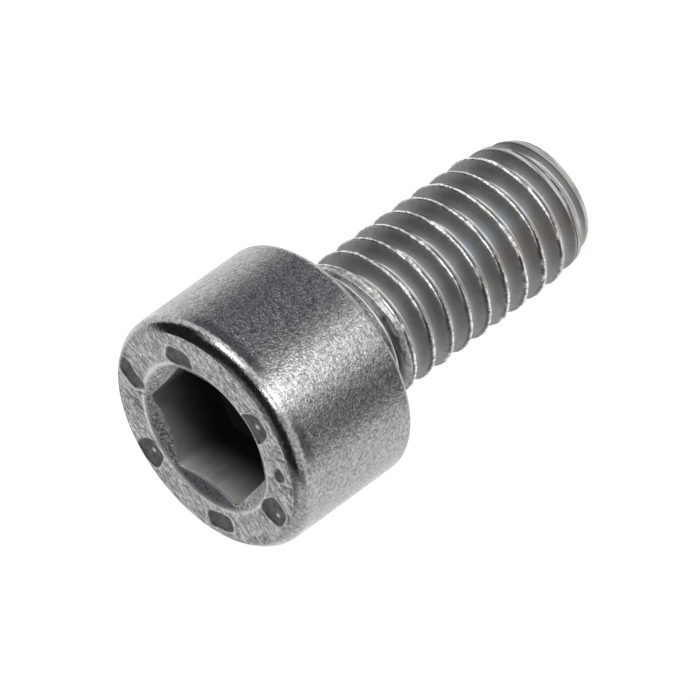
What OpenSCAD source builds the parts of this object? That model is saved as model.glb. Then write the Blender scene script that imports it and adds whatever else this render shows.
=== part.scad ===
// Socket head bolt, short and fully threaded, in millimetres.
// One forged and rolled piece. It stands on its threaded end with the head up.
// The origin is the centre of the threaded end's flat face, and +Z runs towards the head.

/* [Head] */
// Diameter of the head
head_d = 9.8; // [9:0.1:12]
// Height of the head, from its bearing face to its top face
head_h = 5.95; // [5:0.05:8]
// Rounding of the rim round the top face
rim_r = 0.4; // [0.2:0.05:0.6]
// Rounding of the edge round the bearing face
seat_edge_r = 0.3; // [0.1:0.05:0.6]

/* [Socket] */
// Width of the hexagonal socket across its flats
socket_af = 5.15; // [4:0.05:5.3]
// Depth of the socket's flat walls below the top face
socket_depth = 3.1; // [1.5:0.1:3.6]
// Depth of the cone in the socket's floor
socket_cone_h = 0.7; // [0.3:0.1:0.9]
// Turn of the hexagon about the bolt's axis
socket_turn = 34; // [0:1:59]
// How far the countersink reaches past the hexagon's corners
mouth_margin = 0.22; // [0.1:0.02:0.3]
// Half angle of the countersink at the mouth
mouth_angle = 60; // [45:1:70]

/* [Marks in the top face] */
// Depth of the plain stamped marks
mark_depth = 0.14; // [0.05:0.01:0.3]
// Length of a mark along the ring
mark_l = 1.3; // [1.15:0.05:1.6]
// Plain land left on each side of a broad mark, towards the mouth and the rim
broad_margin = 0.13; // [0.05:0.01:0.25]
// Plain land left on each side of a slim mark
slim_margin = 0.28; // [0.15:0.01:0.4]
// Length of the small dot between two of the marks
dot_l = 0.6; // [0.5:0.05:0.8]
// Width of that dot
dot_w = 0.45; // [0.3:0.05:0.45]

/* [Shank] */
// Length of the shank, from the bearing face to the end
shank_l = 12; // [8:0.5:30]
// Diameter over the thread's crests
thread_d = 5.84; // [5.2:0.02:6.4]
// Pitch of the thread
pitch = 1.0; // [0.75:0.05:1.25]
// Height of the first crest on the +X side, as a share of the pitch
thread_phase = 0.26; // [0:0.02:0.98]
// How far the end's flat face lies inside the crests all round
end_inset = 0.5; // [0.4:0.05:1]
// Height of the chamfer round that face
end_chamfer_h = 0.6; // [0.3:0.05:0.8]
// How far the chamfer widens the end all round
end_chamfer_w = 0.28; // [0.1:0.02:0.36]
// Length from the end over which the crests taper up to their full diameter
lead_l = 2.2; // [1:0.1:3]

/* [Neck under the head] */
// How far the plain neck lies below the thread's crests all round
neck_drop = 0.1; // [0.06:0.02:0.4]
// Length of the neck between the thread and the head
neck_l = 1.4; // [0.6:0.05:1.8]
// Height of the sloping fillet that joins the neck to the head
fillet_h = 0.2; // [0.1:0.05:0.5]
// How far the fillet's foot lies outside the thread's crests all round
fillet_margin = 0.06; // [0.02:0.02:0.4]
// Length of the shoulder where the last crest slopes down to the neck
shoulder_l = 0.25; // [0.2:0.05:1]
// Length over which the groove grows shallow below the neck
runout_l = 0.5; // [0.4:0.1:2]

/* [Hidden] */
$fn = 64;
steel = [0.62, 0.62, 0.60];
// How far a cutting shape runs past the surface that it cuts
spare = 0.1;

// Heights and radii that follow from the sizes above
top_z = shank_l + head_h;
head_r = head_d / 2;
thread_r = thread_d / 2;
end_r = thread_r - end_inset;
neck_r = thread_r - neck_drop;
neck_z = shank_l - neck_l;
seat_r = thread_r + fillet_margin;
face_r = head_r - rim_r;

// The threaded rod enters the neck just inside the neck's own surface
neck_seam = 0.02;
rod_r = neck_r - neck_seam;

// Socket: corner radius of the hexagon, and the countersink that clears it
corner_r = socket_af / sqrt(3);
mouth_r = corner_r + mouth_margin;
cone_r = socket_af / 2 - spare;
mouth_depth = (mouth_r - cone_r) / tan(mouth_angle);

// Marks: turn of each round the axis, on the middle of the land between mouth and rim
land_w = face_r - mouth_r;
mark_ring_r = mouth_r + land_w / 2;
broad_turns = [79, 196, 258];
slim_turns = [25, 137, 327];
dot_turn = 227;

// Thread: 60 degree form with a flat crest and a rounded root
thread_h = pitch * sqrt(3) / 2;
flank_depth = thread_h * 5 / 8;
root_depth = thread_h * 17 / 24;
// Each point is its place along the pitch, as a share of it, and its depth below the crest
thread_form = [
    [-1 / 16, 0],
    [1 / 16, 0],
    [3 / 8, flank_depth],
    [1 / 2, root_depth],
    [5 / 8, flank_depth]
];
form_count = len(thread_form);
turn_steps = 40;
first_turn = -2;
last_turn = ceil(shank_l / pitch) + 1;
step_count = (last_turn - first_turn) * turn_steps;
row_points = step_count * form_count;

// Points of a quarter circle about a centre, from one angle to another
function arc(cx, cy, r, from, to, n = 6) =
    [for (i = [0 : n]) let (a = from + (to - from) * i / n) [cx + r * cos(a), cy + r * sin(a)]];

// Share of the thread depth at a height: all of it below the run-out, and none inside the neck
neck_share = (thread_r - rod_r) / root_depth;
function depth_share(z) =
    max(0, min(1, neck_share + (1 - neck_share) * (neck_z - z) / runout_l));

// One point of the thread's surface: step i along the helix, point j of its form
function thread_point(i, j) =
    let (
        turn = first_turn + i / turn_steps,
        z = pitch * (thread_phase + turn + thread_form[j][0]),
        r = thread_r - thread_form[j][1] * depth_share(z),
        a = 360 * turn
    )
    [r * cos(a), r * sin(a), z];

// Number of a point in the list. Past the form's last point comes the next turn's first
function thread_index(i, j) =
    j < form_count ? i * form_count + j : (i + turn_steps) * form_count;

// The threaded rod, longer than the shank at both ends, as one closed mesh along the helix
module thread_rod() {
    low = row_points;
    high = row_points + 1;
    last_full = step_count - turn_steps - 1;
    points = concat(
        [for (i = [0 : step_count - 1], j = [0 : form_count - 1]) thread_point(i, j)],
        [[0, 0, thread_point(0, 0)[2] - pitch / 2]],
        [[0, 0, thread_point(step_count - 1, 0)[2] + pitch / 2]]
    );
    side_faces = [
        for (i = [0 : last_full - 1], j = [0 : form_count - 1])
        each let (
            a = thread_index(i, j),
            b = thread_index(i + 1, j),
            c = thread_index(i + 1, j + 1),
            d = thread_index(i, j + 1)
        )
        [[a, c, b], [a, d, c]]
    ];
    low_faces = concat(
        [for (i = [0 : turn_steps - 1]) [low, thread_index(i, 0), thread_index(i + 1, 0)]],
        [for (j = [0 : form_count - 1]) [low, thread_index(0, j + 1), thread_index(0, j)]]
    );
    high_faces = concat(
        [for (i = [last_full : last_full + turn_steps - 1])
            [high, thread_index(i + 1, 0), thread_index(i, 0)]],
        [for (j = [0 : form_count - 1])
            [high, thread_index(last_full, j), thread_index(last_full, j + 1)]]
    );
    polyhedron(points, concat(side_faces, low_faces, high_faces), convexity = 10);
}

// Space that the shank is cut to: flat end, chamfer, taper, shoulder, and a stop inside the neck
module shank_envelope() {
    clear_r = thread_r + spare;
    stop_z = neck_z + neck_l / 2;
    rotate_extrude()
    polygon([
        [0, 0],
        [end_r, 0],
        [end_r + end_chamfer_w, end_chamfer_h],
        [thread_r, lead_l],
        [clear_r, lead_l + spare],
        [clear_r, neck_z - shoulder_l - spare],
        [thread_r, neck_z - shoulder_l],
        [rod_r, neck_z],
        [rod_r, stop_z],
        [0, stop_z]
    ]);
}

// Plain neck, its sloping fillet and the head's blank, turned in one profile
module head_blank() {
    rotate_extrude()
    polygon(concat(
        [[0, neck_z], [neck_r, neck_z], [neck_r, shank_l - fillet_h], [seat_r, shank_l]],
        arc(head_r - seat_edge_r, shank_l + seat_edge_r, seat_edge_r, -90, 0),
        arc(head_r - rim_r, top_z - rim_r, rim_r, 0, 90),
        [[0, top_z]]
    ));
}

// Hexagonal socket with a coned floor and a countersunk mouth
module socket() {
    translate([0, 0, top_z - socket_depth])
    rotate([0, 0, socket_turn])
    cylinder(h = socket_depth + spare, r = corner_r, $fn = 6);
    translate([0, 0, top_z - socket_depth - socket_cone_h])
    cylinder(h = socket_cone_h, r1 = 0, r2 = cone_r);
    translate([0, 0, top_z - mouth_depth])
    cylinder(h = mouth_depth, r1 = cone_r, r2 = mouth_r);
}

// One plain stamped mark with round ends, of length l along the ring and width w across it
module mark(turn, l, w) {
    narrow = min(l, w);
    reach = abs(l - w) / 2;
    rotate([0, 0, turn])
    translate([mark_ring_r, 0, top_z - mark_depth])
    rotate([0, 0, w > l ? 90 : 0]) {
        for (side = reach > 0 ? [-1, 1] : [0])
            translate([0, side * reach, 0])
            cylinder(h = mark_depth + spare, d = narrow);
        if (reach > 0)
            translate([-narrow / 2, -reach, 0])
            cube([narrow, 2 * reach, mark_depth + spare]);
    }
}

// The whole bolt: the threaded shank cut to its ends, the head, and what is cut into the head
module bolt() {
    color(steel)
    difference() {
        union() {
            intersection() {
                thread_rod();
                shank_envelope();
            }
            head_blank();
        }
        socket();
        for (turn = broad_turns)
            mark(turn, mark_l, land_w - 2 * broad_margin);
        for (turn = slim_turns)
            mark(turn, mark_l, land_w - 2 * slim_margin);
        mark(dot_turn, dot_l, dot_w);
    }
}

bolt();
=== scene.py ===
"""Socket head bolt: the dressed model, its finishes and a plain studio.

The head is one revolved mesh with the socket and the stamped marks in it, and the
threaded shank is made with Geometry Nodes. Both stand for the CAD node "bolt".
Sizes are in millimetres, and meshes are written in metres in the CAD frame.
"""
import logging
import math
from dataclasses import dataclass, field
from enum import Enum

import bpy
import numpy as np
from mathutils import Matrix, Vector


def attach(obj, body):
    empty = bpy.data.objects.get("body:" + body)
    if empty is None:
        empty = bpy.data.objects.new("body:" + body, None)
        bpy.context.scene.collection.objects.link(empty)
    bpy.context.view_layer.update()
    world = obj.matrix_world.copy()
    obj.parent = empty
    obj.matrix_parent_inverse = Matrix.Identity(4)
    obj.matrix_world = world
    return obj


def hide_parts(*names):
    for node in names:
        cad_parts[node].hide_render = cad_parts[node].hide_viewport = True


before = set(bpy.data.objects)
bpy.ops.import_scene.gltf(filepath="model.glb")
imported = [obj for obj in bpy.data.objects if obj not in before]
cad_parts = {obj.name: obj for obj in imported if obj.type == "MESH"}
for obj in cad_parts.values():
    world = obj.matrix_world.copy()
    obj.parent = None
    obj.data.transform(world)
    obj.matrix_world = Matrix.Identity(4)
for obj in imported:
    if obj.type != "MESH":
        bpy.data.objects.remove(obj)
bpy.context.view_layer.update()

LOG = logging.getLogger("socket_head_bolt")
MM = 0.001
BODY = "root"
NODE = "bolt"

SHANK_LENGTH = 12.0
NECK_Z = 10.62

Socket = bpy.types.NodeSocket
Value = Socket | float | int | tuple | str | None
Colour = tuple[float, float, float, float]
Row = tuple[np.ndarray, np.ndarray]


def add_object(name: str, data: bpy.types.ID) -> bpy.types.Object:
    """Puts a new object into the scene.

    Args:
        name: the object's name.
        data: its mesh, lamp or camera.

    Returns:
        The object.
    """
    obj = bpy.data.objects.new(name, data)
    bpy.context.scene.collection.objects.link(obj)
    return obj


def bell(distance: np.ndarray, width: float) -> np.ndarray:
    """Gives 1 where the distance is nothing, falling softly to 0 past the width."""
    return np.exp(-(distance / width) ** 2)


class Wiring:
    """Adds nodes to one node tree and joins their sockets."""

    def __init__(self, tree: bpy.types.NodeTree) -> None:
        """Keeps the tree that the nodes go into."""
        self.tree = tree

    def feed(self, socket: Socket, value: Value) -> None:
        """Links a socket to another one, or sets its plain value.

        Args:
            socket: the input socket.
            value: an output socket, a plain value, or None to leave it as it is.
        """
        if isinstance(value, Socket):
            self.tree.links.new(value, socket)
        elif value is not None:
            socket.default_value = value

    def add(self, kind: str, inputs: dict[str | int, Value] | None = None, **settings) -> bpy.types.Node:
        """Adds a node.

        Args:
            kind: the node's type name.
            inputs: values or sockets for its inputs, by name or number.
            **settings: the node's own properties.

        Returns:
            The new node.
        """
        node = self.tree.nodes.new(kind)
        for name, value in settings.items():
            setattr(node, name, value)
        for key, value in (inputs or {}).items():
            self.feed(node.inputs[key], value)
        return node

    def math(self, operation: str, *values: Value, clamp: bool = False) -> Socket:
        """Adds a math node.

        Args:
            operation: the node's operation.
            *values: its inputs in order.
            clamp: whether the result is held between 0 and 1.

        Returns:
            The result's socket.
        """
        node = self.add("ShaderNodeMath", operation=operation, use_clamp=clamp)
        for socket, value in zip(node.inputs, values):
            self.feed(socket, value)
        return node.outputs[0]

    def chain(self, operation: str, values: tuple[Value, ...]) -> Socket:
        """Works one operation through two or more values.

        Args:
            operation: the math node's operation.
            values: the values, from left to right.

        Returns:
            The result's socket.
        """
        total = values[0]
        for value in values[1:]:
            total = self.math(operation, total, value)
        return total

    def plus(self, *values: Value) -> Socket:
        """Adds values."""
        return self.chain("ADD", values)

    def minus(self, *values: Value) -> Socket:
        """Takes every later value off the first one."""
        return self.chain("SUBTRACT", values)

    def times(self, *values: Value) -> Socket:
        """Multiplies values."""
        return self.chain("MULTIPLY", values)

    def over(self, value: Value, divisor: Value) -> Socket:
        """Divides a value by another one."""
        return self.math("DIVIDE", value, divisor)

    def larger(self, *values: Value) -> Socket:
        """Gives the largest of the values."""
        return self.chain("MAXIMUM", values)

    def blended(self, *parts: tuple[Value, float]) -> Socket:
        """Adds values, each times its share."""
        return self.plus(*(self.times(value, share) for value, share in parts))

    def ramp(self, value: Value, low: Value, high: Value, to_low: Value = 0.0, to_high: Value = 1.0,
             smooth: bool = True) -> Socket:
        """Maps a value from one range to another, held at both ends.

        Args:
            value: what is mapped.
            low: the value that gives to_low.
            high: the value that gives to_high.
            to_low: the result at low.
            to_high: the result at high.
            smooth: whether the ends are eased.

        Returns:
            The result's socket.
        """
        node = self.add("ShaderNodeMapRange", {0: value, 1: low, 2: high, 3: to_low, 4: to_high},
                        interpolation_type="SMOOTHSTEP" if smooth else "LINEAR")
        return node.outputs[0]

    def mix(self, share: Value, first: Value, second: Value, blend: str = "MIX") -> Socket:
        """Mixes two colours.

        Args:
            share: how much of the second one shows.
            first: the first colour.
            second: the second colour.
            blend: the blend type.

        Returns:
            The mixed colour's socket.
        """
        node = self.add("ShaderNodeMix", data_type="RGBA", blend_type=blend)
        for socket, value in ((node.inputs[0], share), (node.inputs[6], first), (node.inputs[7], second)):
            self.feed(socket, value)
        return node.outputs[2]

    def mix_value(self, share: Value, first: Value, second: Value) -> Socket:
        """Mixes two numbers."""
        return self.add("ShaderNodeMix", {0: share, 2: first, 3: second}).outputs[0]

    def vector(self, operation: str, *values: Value) -> Socket:
        """Adds a vector math node and gives its vector."""
        return self.add("ShaderNodeVectorMath", dict(enumerate(values)), operation=operation).outputs[0]

    def stretched(self, vector: Value, factors: tuple[float, float, float]) -> Socket:
        """Multiplies a vector by a factor for each axis."""
        return self.vector("MULTIPLY", vector, factors)

    def scaled(self, vector: Value, factor: Value) -> Socket:
        """Multiplies a vector by one number."""
        return self.add("ShaderNodeVectorMath", {0: vector, "Scale": factor}, operation="SCALE").outputs[0]

    def split(self, vector: Value) -> tuple[Socket, ...]:
        """Gives a vector's three coordinates."""
        return tuple(self.add("ShaderNodeSeparateXYZ", {0: vector}).outputs)

    def join(self, x: Value = None, y: Value = None, z: Value = None) -> Socket:
        """Makes a vector of up to three coordinates, with 0 for the rest."""
        return self.add("ShaderNodeCombineXYZ", {0: x, 1: y, 2: z}).outputs[0]

    def mask(self, name: str) -> Socket:
        """Reads a mask that is stored on the mesh."""
        return self.add("ShaderNodeAttribute", attribute_name=name).outputs["Fac"]

    def noise(self, vector: Value, scale: Value, detail: float = 2.0, roughness: float = 0.5,
              distortion: float = 0.0) -> Socket:
        """Adds a noise texture.

        Args:
            vector: its coordinates, in millimetres.
            scale: its cells per millimetre.
            detail: its octaves.
            roughness: how strong the finer octaves are.
            distortion: how much it swirls.

        Returns:
            The noise value's socket.
        """
        inputs = {"Vector": vector, "Scale": scale, "Detail": detail, "Roughness": roughness,
                  "Distortion": distortion}
        return self.add("ShaderNodeTexNoise", inputs).outputs[0]


def bare_material(name: str) -> tuple[bpy.types.Material, Wiring]:
    """Starts a material without nodes.

    Args:
        name: the material's name.

    Returns:
        The material and its wiring.
    """
    material = bpy.data.materials.new(name)
    material.use_nodes = True
    material.node_tree.nodes.clear()
    return material, Wiring(material.node_tree)


class GroupMaker:
    """Starts a node group with named sockets."""

    def __init__(self, name: str, kind: str) -> None:
        """Makes an empty group.

        Args:
            name: the group's name.
            kind: its tree type.
        """
        self.tree = bpy.data.node_groups.new(name, kind)
        self.wires = Wiring(self.tree)
        self.entry = self.tree.nodes.new("NodeGroupInput")
        self.exit = self.tree.nodes.new("NodeGroupOutput")

    def takes(self, name: str, kind: str, value: Value = None) -> Socket:
        """Adds a named input.

        Args:
            name: the input's name.
            kind: its socket type.
            value: its value where nothing is set.

        Returns:
            The socket that brings the value into the group.
        """
        socket = self.tree.interface.new_socket(name, in_out="INPUT", socket_type=kind)
        if value is not None:
            socket.default_value = value
        return self.entry.outputs[name]

    def gives(self, name: str, kind: str, value: Socket) -> None:
        """Adds a named output and links it."""
        self.tree.interface.new_socket(name, in_out="OUTPUT", socket_type=kind)
        self.wires.feed(self.exit.inputs[name], value)


class Effect(Enum):
    """Surface effects of the finishes, each one shader node group."""

    GRAIN = "fine grain"
    HAIRLINES = "hairline scratches"
    STAIN = "heat stain"

    def group(self) -> bpy.types.NodeTree:
        """Gives the effect's node group, built when it is first asked for.

        Returns:
            The node group.
        """
        known = bpy.data.node_groups.get(self.value)
        if known:
            return known
        makers = {Effect.GRAIN: self._grain, Effect.HAIRLINES: self._hairlines, Effect.STAIN: self._stain}
        return makers[self]()

    def _grain(self) -> bpy.types.NodeTree:
        """Builds close metal grain with darker pits in it.

        Returns:
            A group that gives the grain's height, a mask of its pits and a mottled tone.
        """
        fine_share, coarse_cells, mottled_cells = 0.7, 0.31, 0.6
        rare_pits, common_pits, pit_edge = 0.62, 0.2, 0.07
        made = GroupMaker(self.value, "ShaderNodeTree")
        vector = made.takes("Vector", "NodeSocketVector")
        cells = made.takes("Cells per mm", "NodeSocketFloat", 8.0)
        amount = made.takes("Pits", "NodeSocketFloat", 0.5)
        wires = made.wires
        fine = wires.noise(vector, cells, 2.0, 0.6)
        coarse = wires.noise(vector, wires.times(cells, coarse_cells), 1.0)
        height = wires.blended((fine, fine_share), (coarse, 1.0 - fine_share))
        limit = wires.minus(rare_pits, wires.times(amount, common_pits))
        pits = wires.ramp(height, limit, wires.plus(limit, pit_edge))
        mottled = wires.noise(vector, wires.times(cells, mottled_cells), 3.0, 0.8)
        made.gives("Height", "NodeSocketFloat", height)
        made.gives("Pits", "NodeSocketFloat", pits)
        made.gives("Tone", "NodeSocketFloat", wires.ramp(mottled, 0.36, 0.64))
        return made.tree

    def _hairlines(self) -> bpy.types.NodeTree:
        """Builds short fine scratches that run in three directions across a flat face.

        Returns:
            A group that gives a mask of the scratches.
        """
        directions = ((0.0, 0.2, 0.57), (0.5, 0.16, 0.61), (-0.6, 0.07, 0.64))
        line_edge = 0.07
        made = GroupMaker(self.value, "ShaderNodeTree")
        vector = made.takes("Vector", "NodeSocketVector")
        turn = made.takes("Turn", "NodeSocketFloat", 0.0)
        width = made.takes("Lines per mm", "NodeSocketFloat", 14.0)
        wires = made.wires
        layers = []
        for number, (offset, stretch, limit) in enumerate(directions):
            angle = wires.plus(turn, offset)
            turned = wires.add("ShaderNodeVectorRotate", {"Vector": vector, "Angle": angle},
                               rotation_type="Z_AXIS").outputs[0]
            shifted = wires.vector("ADD", turned, (7.3 * number, 3.1 * number, 0.0))
            drawn = wires.stretched(shifted, (stretch, 1.0, 1.0))
            layers.append(wires.ramp(wires.noise(drawn, width, 1.5, 0.55, 0.4), limit, limit + line_edge))
        made.gives("Mask", "NodeSocketFloat", wires.larger(*layers))
        return made.tree

    def _stain(self) -> bpy.types.NodeTree:
        """Builds a soft spot of heat colour.

        Returns:
            A group that gives the stained colour.
        """
        ragged_cells, ragged_share = 1.3, 0.6
        made = GroupMaker(self.value, "ShaderNodeTree")
        vector = made.takes("Vector", "NodeSocketVector")
        plain = made.takes("Color", "NodeSocketColor", (0.5, 0.5, 0.5, 1.0))
        tint = made.takes("Tint", "NodeSocketColor", (0.8, 1.0, 1.25, 1.0))
        centre = made.takes("Centre", "NodeSocketVector")
        reach = made.takes("Reach", "NodeSocketVector")
        wires = made.wires
        spread = wires.vector("DIVIDE", wires.vector("SUBTRACT", vector, centre), reach)
        distance = wires.add("ShaderNodeVectorMath", {0: spread}, operation="LENGTH").outputs["Value"]
        uneven = wires.plus(distance, wires.times(wires.noise(vector, ragged_cells), ragged_share))
        share = wires.ramp(uneven, 0.7, 1.4, 1.0, 0.0)
        made.gives("Color", "NodeSocketColor", wires.mix(share, plain, tint, "MULTIPLY"))
        return made.tree


@dataclass(frozen=True)
class Finish:
    """A finish: its name, main colours and how rough it is."""

    name: str
    colour: Colour
    shade: Colour
    roughness: float = 0.35

    def start(self) -> tuple[bpy.types.Material, Wiring, bpy.types.Node, Socket]:
        """Starts a metal material.

        Returns:
            The material, its wiring, its shader node, and Object coordinates in millimetres.
        """
        material = bpy.data.materials.new(self.name)
        material.use_nodes = True
        wires = Wiring(material.node_tree)
        shader = next(n for n in material.node_tree.nodes if n.type == "BSDF_PRINCIPLED")
        shader.inputs["Metallic"].default_value = 1.0
        shader.inputs["Roughness"].default_value = self.roughness
        spot = wires.add("ShaderNodeTexCoord").outputs["Object"]
        mapping = wires.add("ShaderNodeMapping", {"Vector": spot, "Scale": (1 / MM, 1 / MM, 1 / MM)})
        return material, wires, shader, mapping.outputs[0]

    def place(self, wires: Wiring, effect: Effect, inputs: dict[str | int, Value]) -> bpy.types.Node:
        """Puts a shared effect into a material with its own values."""
        return wires.add("ShaderNodeGroup", inputs, node_tree=effect.group())

    def relief(self, wires: Wiring, shader: bpy.types.Node, height: Socket, depth: float) -> None:
        """Bumps the surface by a height from 0 to 1, times a depth in millimetres."""
        bump = wires.add("ShaderNodeBump", {"Strength": 1.0, "Distance": depth * MM, "Height": height})
        wires.feed(shader.inputs["Normal"], bump.outputs[0])


@dataclass(frozen=True)
class SideFinish(Finish):
    """Bright blasted grain of the head's side, rim and underside, rubbed smoother at the rim."""

    grain_cells: float = 11.5
    grain_depth: float = 0.028
    stroke_cells: float = 15.0
    patch_cells: float = 6.0
    rubbed_z: tuple[float, float] = (16.7, 17.1)
    rubbed_roughness: float = 0.6
    rubbed_depth: float = 0.35

    def build(self) -> bpy.types.Material:
        """Builds the material.

        Returns:
            The finished material.
        """
        material, wires, shader, spot = self.start()
        grain = self.place(wires, Effect.GRAIN, {"Vector": spot, "Cells per mm": self.grain_cells,
                                                 "Pits": 0.5})
        drawn = wires.stretched(spot, (0.4, 0.4, 1.0))
        strokes = wires.ramp(wires.noise(drawn, self.stroke_cells, 2.0, 0.6), 0.4, 0.6)
        patches = wires.ramp(wires.noise(spot, self.patch_cells, 3.0, 0.7), 0.38, 0.62)
        tone = wires.blended((grain.outputs["Tone"], 0.5), (strokes, 0.25), (patches, 0.25))
        wires.feed(shader.inputs["Base Color"], wires.mix(tone, self.shade, self.colour))
        z = wires.split(spot)[2]
        rough = wires.ramp(grain.outputs["Height"], 0.3, 0.7, self.roughness - 0.06, self.roughness + 0.1)
        smoother = wires.ramp(z, *self.rubbed_z, 1.0, self.rubbed_roughness)
        wires.feed(shader.inputs["Roughness"], wires.times(rough, smoother))
        flatter = wires.ramp(z, *self.rubbed_z, 1.0, self.rubbed_depth)
        self.relief(wires, shader, wires.times(grain.outputs["Height"], flatter), self.grain_depth)
        return material


@dataclass(frozen=True)
class FaceFinish(Finish):
    """Scratched light top face and countersink, with dark stamped marks, bright burrs, a highlight painted on
    the neck's edge and along the socket's lip, and shade painted on the neck's side.
    """

    cut_colour: Colour = (0.12, 0.118, 0.115, 1.0)
    mark_colour: Colour = (0.045, 0.044, 0.043, 1.0)
    worn_colour: Colour = (0.09, 0.088, 0.086, 1.0)
    # bright colour of the burrs, also used for painted highlights
    burr_and_glint_colour: Colour = (0.8, 0.79, 0.77, 1.0)
    forged_colour: Colour = (0.24, 0.245, 0.27, 1.0)
    grain_cells: float = 17.0
    grain_depth: float = 0.007
    scratch_turn: float = 0.3
    scratch_cells: float = 12.0
    face_scratches: float = 0.55
    sink_scratches: float = 0.05
    sink_rays: float = 0.45
    ray_cells: float = 70.0
    mark_polish: float = 0.05
    mark_smoothness: float = 0.7

    def build(self) -> bpy.types.Material:
        """Builds the material.

        Returns:
            The finished material.
        """
        material, wires, shader, spot = self.start()
        mark, burr, forged, sink = (wires.mask(name) for name in ("mark", "burr", "forged", "sink"))
        scratches = self.place(wires, Effect.HAIRLINES, {"Vector": spot, "Turn": self.scratch_turn,
                                                         "Lines per mm": self.scratch_cells}).outputs["Mask"]
        grain = self.place(wires, Effect.GRAIN, {"Vector": wires.stretched(spot, (0.7, 1.0, 1.0)),
                                                 "Cells per mm": self.grain_cells, "Pits": 0.45})
        drawn = wires.stretched(spot, (0.26, 1.0, 1.0))
        hatch = wires.ramp(wires.noise(drawn, self.scratch_cells, 3.0, 0.65), 0.42, 0.58)
        hatch = wires.mix_value(wires.minus(1.0, sink), grain.outputs["Tone"], hatch)
        colour = wires.mix(wires.blended((grain.outputs["Tone"], 0.5), (hatch, 0.5)), self.shade, self.colour)

        fewer = wires.times(sink, self.face_scratches - self.sink_scratches)
        cuts = wires.times(scratches, wires.minus(self.face_scratches, fewer))
        colour = wires.mix(cuts, colour, self.cut_colour)
        outward = wires.vector("NORMALIZE", wires.stretched(spot, (1.0, 1.0, 0.0)))
        rays = wires.ramp(wires.noise(outward, self.ray_cells, 1.0), 0.42, 0.62)
        colour = wires.mix(wires.times(sink, self.sink_rays, rays), colour, self.cut_colour)
        pitted = wires.mix(grain.outputs["Pits"], self.forged_colour, self.mark_colour)
        colour = wires.mix(forged, colour, pitted)
        wear = wires.ramp(wires.noise(spot, 4.0), 0.35, 0.65)
        # the mark mask also darkens the neck's side under the head, a painted shade
        colour = wires.mix(mark, colour, wires.mix(wear, self.mark_colour, self.worn_colour))
        # the burr mask also holds painted highlights on the neck's edge and the socket's lip
        wires.feed(shader.inputs["Base Color"], wires.mix(burr, colour, self.burr_and_glint_colour))

        rough = wires.minus(self.roughness, wires.times(mark, self.mark_polish))
        wires.feed(shader.inputs["Roughness"], rough)
        raised = wires.minus(grain.outputs["Height"], wires.times(scratches, 0.5))
        outside = wires.minus(1.0, wires.times(mark, self.mark_smoothness))
        self.relief(wires, shader, wires.times(raised, outside), self.grain_depth)
        return material


@dataclass(frozen=True)
class SocketFinish(Finish):
    """Dull dark broached walls and floor of the socket, with painted shade that darkens them towards the
    bottom.
    """

    metallic: float = 0.5
    # painted shade: the colour that the walls darken to at the bottom of the socket
    recess_shade_colour: Colour = (0.08, 0.076, 0.072, 1.0)
    full_shade_z: float = 15.4
    no_shade_z: float = 17.5
    stroke_cells: float = 7.0
    stroke_depth: float = 0.004
    cloud_cells: float = 0.9

    def build(self) -> bpy.types.Material:
        """Builds the material.

        Returns:
            The finished material.
        """
        material, wires, shader, spot = self.start()
        shader.inputs["Metallic"].default_value = self.metallic
        strokes = wires.noise(wires.stretched(spot, (1.0, 1.0, 0.08)), self.stroke_cells)
        clouds = wires.noise(spot, self.cloud_cells)
        share = wires.ramp(wires.blended((strokes, 0.4), (clouds, 0.6)), 0.35, 0.65)
        # painted shade: the walls get darker towards the socket's floor
        unshaded = wires.ramp(wires.split(spot)[2], self.full_shade_z, self.no_shade_z)
        steel = wires.mix(share, self.shade, self.colour)
        wires.feed(shader.inputs["Base Color"], wires.mix(unshaded, self.recess_shade_colour, steel))
        rough = wires.ramp(strokes, 0.3, 0.7, self.roughness - 0.05, self.roughness + 0.08)
        wires.feed(shader.inputs["Roughness"], rough)
        self.relief(wires, shader, strokes, self.stroke_depth)
        return material


@dataclass(frozen=True)
class HeatSpot:
    """One soft spot of heat colour on the thread, whose tint above 1 also brightens it as a painted
    highlight.
    """

    tint: Colour
    centre: tuple[float, float, float]
    reach: tuple[float, float, float]

    def inputs(self, spot: Socket, colour: Value, strength: float = 1.0) -> dict[str | int, Value]:
        """Gives the stain group's inputs by name, with so much of the tint over the colour."""
        tint = tuple(1.0 - strength + strength * part for part in self.tint)
        return {"Vector": spot, "Color": colour, "Tint": tint, "Centre": self.centre, "Reach": self.reach}


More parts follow.
